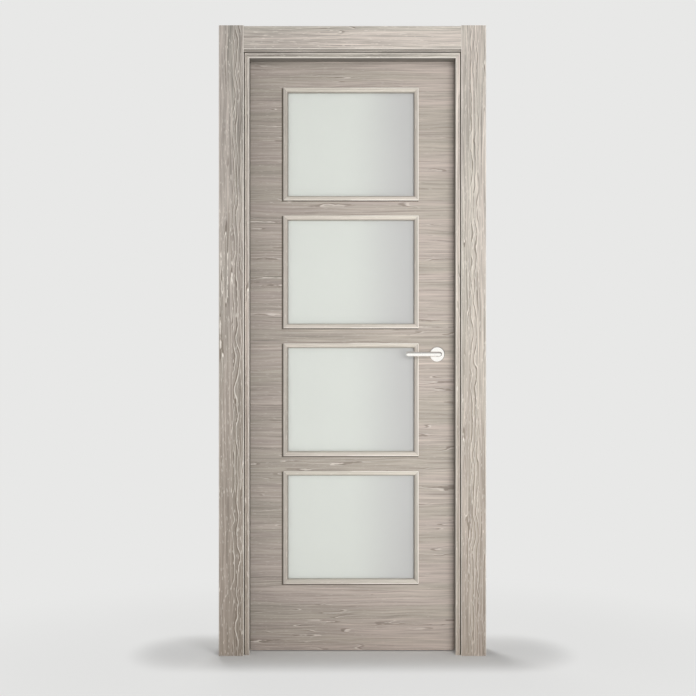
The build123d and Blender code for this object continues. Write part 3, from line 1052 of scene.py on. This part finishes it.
@dataclass
class Ironmongery:
    """Handle, roses, hinges and all the screws."""

    chrome: Metal
    steel: Metal
    flap_depth: float = 28 * MM
    screw_rows: tuple[float, ...] = (-38 * MM, -13 * MM, 13 * MM, 38 * MM)
    screw_stagger: float = 5 * MM
    latch_screw_inset: float = 12 * MM
    strike_screw_inset: float = 10 * MM
    neck_radius: float = 8 * MM
    grub_sink: float = 0.6 * MM
    grub_off_rose: float = 9 * MM

    def _hinge_screws(self, kit: ScrewKit) -> None:
        """Sets four screws in each flap, on the jamb's face and on the leaf's edge."""
        frame_face, leaf_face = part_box("hinge_jamb")[1][0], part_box("front_skin")[0][0]
        halves = (("frame", frame_face, TURN_TO_RIGHT), ("leaf", leaf_face, TURN_TO_LEFT))
        for number in HINGES:
            for body, face, turn in halves:
                low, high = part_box(f"hinge_{number}_{body}_half")
                middle = (low[2] + high[2]) / 2
                y_middle = low[1] + self.flap_depth / 2
                for row, offset in enumerate(self.screw_rows):
                    y = y_middle + (self.screw_stagger if row % 2 else -self.screw_stagger)
                    name = f"hinge_{number}_{body}_screw_{row + 1}"
                    kit.put_cross(name, body, (face, y, middle + offset), turn)

    def _plate_screws(self, kit: ScrewKit) -> None:
        """Sets two screws in the latch plate and two in the strike plate."""
        places = (
            ("latch_plate", "leaf", 1, TURN_TO_RIGHT, self.latch_screw_inset),
            ("strike_plate", "frame", 0, TURN_TO_LEFT, self.strike_screw_inset),
        )
        for node, body, side, turn, inset in places:
            low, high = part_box(node)
            face = (low, high)[side][0]
            y = (low[1] + high[1]) / 2
            for end, z in (("lower", low[2] + inset), ("upper", high[2] - inset)):
                kit.put_cross(f"{node}_screw_{end}", body, (face, y, z), turn)

    def _grub_screws(self, kit: ScrewKit) -> None:
        """Sets the small socket screw under each lever's neck."""
        spindle_low, spindle_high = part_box("spindle")
        x = (spindle_low[0] + spindle_high[0]) / 2
        z = (spindle_low[2] + spindle_high[2]) / 2 - self.neck_radius + self.grub_sink
        for side in FACES:
            low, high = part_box(f"{side}_rose")
            y = low[1] - self.grub_off_rose if side == "front" else high[1] + self.grub_off_rose
            kit.put_socket(f"{side}_grub_screw", (x, y, z))

    def build(self) -> None:
        """Dresses the metal pieces and adds the screws."""
        chrome = self.chrome.material()
        steel = self.steel.material()
        dress(["front_rose", "rear_rose", "front_lever", "rear_lever", "spindle"], chrome)
        dress([f"hinge_{n}_{half}_half" for n in HINGES for half in ("frame", "leaf")], steel)
        kit = ScrewKit(steel)
        self._hinge_screws(kit)
        self._plate_screws(kit)
        self._grub_screws(kit)
        kit.put_away()


# The studio


@dataclass
class Studio:
    """Camera, lights, pale world and pale floor."""

    lens: float = 70.5
    sensor: float = 36.0
    eye: Point = (0.3705, -4.652, 0.98)
    shift: float = 0.0243
    pale: Colour = paint(232, 232, 231)
    white: Colour = (1.0, 1.0, 0.99, 1.0)
    ambient: float = 0.24
    key_place: Point = (1.2, -2.25, 1.05)
    key_aim: Point = (0.385, 0.0, 1.1)
    key_size: float = 1.0
    key_power: float = 30.2
    sun_strength: float = 0.6
    sun_right: float = 4.0
    sun_height: float = 10.0
    sun_spread: float = 12.0
    rear_place: Point = (-0.3, 2.8, 2.7)
    rear_size: float = 1.6
    rear_power: float = 70.0
    flag_place: Point = (DOOR_MIDDLE, -3.8, 2.0)
    flag_size: float = 12.0
    flag_tone: Colour = (0.4, 0.395, 0.385, 1.0)
    floor_size: float = 40.0
    floor_bounce: Colour = (0.44, 0.33, 0.24, 1.0)
    floor_roughness: float = 0.8
    door_half_width: float = 0.45
    beside_step: Step = (0.0, 0.6)
    beside_share: float = 0.6
    clear_step: Step = (0.0005, 0.12)
    clear_share: float = 0.75
    far_step: Step = (0.3, 3.0)
    far_share: float = 0.2
    least_share: float = 0.05
    glossy_gain: float = 0.2

    def _camera(self) -> None:
        """Puts the camera where the photograph was taken from."""
        data = bpy.data.cameras.new("camera")
        data.lens = self.lens
        data.sensor_width = self.sensor
        data.shift_y = self.shift
        data.dof.use_dof = False
        camera = bpy.data.objects.new("camera", data)
        camera.location = self.eye
        camera.rotation_euler = (math.pi / 2, 0, 0)
        bpy.context.scene.collection.objects.link(camera)
        bpy.context.scene.camera = camera

    @staticmethod
    def _lamp(name: str, kind: str, **settings: str | float) -> Piece:
        """Adds a lamp, AREA or SUN, that shows neither in gloss nor through glass."""
        data = bpy.data.lights.new(name, kind)
        for key, value in settings.items():
            setattr(data, key, value)
        lamp = bpy.data.objects.new(name, data)
        lamp.visible_glossy = False
        lamp.visible_transmission = False
        bpy.context.scene.collection.objects.link(lamp)
        return lamp

    def _disk(self, name: str, place: Point, size: float, power: float) -> None:
        """Adds a round soft lamp that looks at the door, with its diameter and its watts."""
        lamp = self._lamp(name, "AREA", shape="DISK", size=size, energy=power)
        lamp.location = place
        aim = Vector(self.key_aim) - Vector(place)
        lamp.rotation_euler = aim.to_track_quat("-Z", "Y").to_euler()

    def _lamps(self) -> None:
        """The key lamp from the right, a low even sun, and a lamp for the rear side."""
        self._disk("key", self.key_place, self.key_size, self.key_power)
        sun = self._lamp("sun", "SUN", energy=self.sun_strength, angle=math.radians(self.sun_spread))
        sun.rotation_euler = (math.radians(90 - self.sun_height), 0, math.radians(self.sun_right))
        self._disk("rear", self.rear_place, self.rear_size, self.rear_power)

    @staticmethod
    def _sheet(name: str, size: float, place: Point) -> Piece:
        """A level square sheet of the studio."""
        Bench.clear()
        bpy.ops.mesh.primitive_plane_add(size=size, location=place)
        sheet = bpy.context.object
        sheet.name = name
        return sheet

    def _overhead_flag(self) -> None:
        """A grey glowing panel over the door that only gloss shows, as a ceiling does."""
        flag = self._sheet("overhead_flag", self.flag_size, self.flag_place)
        recipe = Recipe.named("flag_cloth")
        weave = recipe.noise(recipe.place, 40.0)
        tone = recipe.strengthen(self.flag_tone, weave * 0.2 + 0.9)
        flag.data.materials.append(recipe.finish(recipe.light("Emission", tone, 1.0)))
        for ray in ("camera", "diffuse", "transmission", "shadow", "volume_scatter"):
            setattr(flag, f"visible_{ray}", False)

    def _world(self) -> None:
        """Pale to the eye, to gloss and through glass, and a plain level for the rest."""
        world = bpy.data.worlds.new("world")
        bpy.context.scene.world = world
        recipe = Recipe(world)
        camera, glossy, through = recipe.rays("Camera", "Glossy", "Transmission")
        light = recipe.light("Background", (1, 1, 1, 1), self.ambient)
        backdrop = recipe.light("Background", recipe.mix(glossy, self.pale, self.white), 1.0)
        recipe.finish(recipe.blend((camera + glossy + through).least(1.0), light, backdrop))

    def _floor(self) -> None:
        """A pale floor that keeps the shadow near the door and fades into the backdrop."""
        floor = self._sheet("floor", self.floor_size, (0, 0, 0))
        recipe = Recipe.named("pale_floor")
        x, y, _ = recipe.axes
        aside = x - DOOR_MIDDLE
        reach = aside * aside + y * y
        beside = (abs(aside) - self.door_half_width).between(*self.beside_step) * self.beside_share
        clear = (beside * beside + y * y).between(*self.clear_step)
        bounced, glossy = recipe.rays("Diffuse", "Glossy")
        glow = reach.between(*self.far_step) * self.far_share + clear * self.clear_share
        glow = (glow + self.least_share + glossy).least(1.0)
        speckle = recipe.noise(recipe.place, 260.0) * 0.04 + 0.97
        tone = recipe.strengthen(recipe.mix(bounced, self.pale, self.floor_bounce), speckle)
        sockets = {"Base Color": tone, "Roughness": self.floor_roughness}
        near = recipe.node("ShaderNodeBsdfPrincipled", sockets=sockets).outputs[0]
        far = recipe.light("Emission", self.pale, glossy * self.glossy_gain + 1.0)
        floor.data.materials.append(recipe.finish(recipe.blend(glow, near, far)))

    def build(self) -> None:
        """Sets up the studio."""
        self._camera()
        self._lamps()
        self._overhead_flag()
        self._world()
        self._floor()
        view = bpy.context.scene.view_settings
        view.view_transform = "Standard"
        log.info("studio ready")


def window_grid() -> WindowGrid:
    """The grid of the four windows, read from the bead frames' CAD boxes."""
    low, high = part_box("front_beads_1")
    next_low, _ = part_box("front_beads_2")
    bottom = min(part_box(f"front_beads_{n}")[0][2] for n in WINDOWS)
    height = high[2] - low[2]
    return WindowGrid(low[0], high[0], bottom, bottom + height, abs(low[2] - next_low[2]), high[2])


def side_arris_highlights() -> ArrisHighlights:
    """Where painted highlights run upright: the arrises of the side casings, and the noses of the side
    stops.
    """
    boxes = [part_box("front_casing_hinge_side"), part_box("front_casing_lock_side")]
    places = [corner[0] for box in boxes for corner in box]
    places += [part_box("hinge_stop")[1][0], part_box("lock_stop")[0][0]]
    return ArrisHighlights(tuple(places), axis=0)


def head_arris_highlights() -> ArrisHighlights:
    """Where painted highlights run level: the arrises of the head casing, and the nose of the head stop.
    """
    low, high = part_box("front_casing_head")
    return ArrisHighlights((low[2], high[2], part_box("head_stop")[0][2]), axis=2)


def surround(steel: Metal) -> Surround:
    """The surround in its finishes, with that steel for the strike plate."""
    upright = Veneer(
        "casing_veneer_upright",
        warm=paint(183, 174, 166),
        cool=paint(175, 169, 160),
        light=paint(228, 221, 212),
        dark=paint(108, 98, 88),
        foot_shade=paint(124, 106, 88),
        grain=Grain.UPRIGHT,
        streak=1.0,
        fleck=0.55,
        ring=0.9,
        crack=0.8,
        seed=2.0,
        hearts=HEARTS,
        painted_highlight=side_arris_highlights(),
    )
    low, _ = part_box("front_casing_head")
    level = replace(
        upright,
        name="casing_veneer_level",
        grain=Grain.LEVEL,
        seed=9.0,
        tone=1.12,
        hearts=(),
        painted_highlight=head_arris_highlights(),
        shaded=LedgeShade(front=low[1], edge=low[2]),
    )
    recess = RecessShade(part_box("hinge_stop")[0][1])
    return Surround(
        upright=upright,
        level=level,
        upright_stop=replace(upright, name="stop_veneer_upright", tone=1.2, hearts=(), shaded=recess),
        level_stop=replace(level, name="stop_veneer_level", tone=1.1, shaded=recess),
        seal=Rubber("seal_rubber", paint(92, 86, 80)),
        steel=steel,
    )


def leaf(steel: Metal) -> Leaf:
    """The leaf in its finishes, with that steel for the latch."""
    grid = window_grid()
    pane_low, pane_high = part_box("pane_1")
    return Leaf(
        skin=Veneer(
            "leaf_veneer",
            warm=paint(177, 166, 158),
            cool=paint(167, 159, 149),
            light=paint(208, 200, 192),
            dark=paint(124, 113, 104),
            grain=Grain.LEVEL,
            streak=0.6,
            fleck=0.3,
            ring=0.85,
            crack=0.45,
            seed=5.0,
            painted_light_slope=0.44,
            shaded=FrameShadow(grid),
        ),
        edge=Core("edge_wood", paint(176, 166, 154), paint(150, 139, 126)),
        bead=Veneer(
            "bead_veneer",
            warm=paint(188, 180, 171),
            cool=paint(182, 176, 166),
            light=paint(238, 233, 225),
            dark=paint(140, 130, 118),
            grain=Grain.ROUND_WINDOWS,
            streak=0.35,
            fleck=0.3,
            ring=0.2,
            crack=0.5,
            seed=1.0,
            tone=1.12,
            painted_highlight=BeadRimHighlights(grid),
            shaded=PaneEdgeShade(grid),
            grid=grid,
        ),
        glass=FrostedGlass(
            "frosted_glass",
            tint=paint(231, 234, 229),
            # The painted shade's tone at the pane's right
            shade=paint(211, 211, 210),
            left=pane_low[0] + GLASS_SHADE_START,
            right=pane_high[0],
            passing=0.6,
        ),
        steel=steel,
    )


def main() -> None:
    """Builds and dresses the door."""
    logging.basicConfig(level=logging.INFO, format="%(name)s: %(message)s")
    steel = Metal("satin_steel", paint(196, 193, 188), 0.32, brushed=0.6)
    chrome = Metal("polished_chrome", paint(254, 252, 248), 0.13)
    Studio().build()
    surround(steel).build()
    leaf(steel).build()
    Ironmongery(chrome=chrome, steel=steel).build()
    log.info("sizes written")


if __name__ == "__main__":
    main()
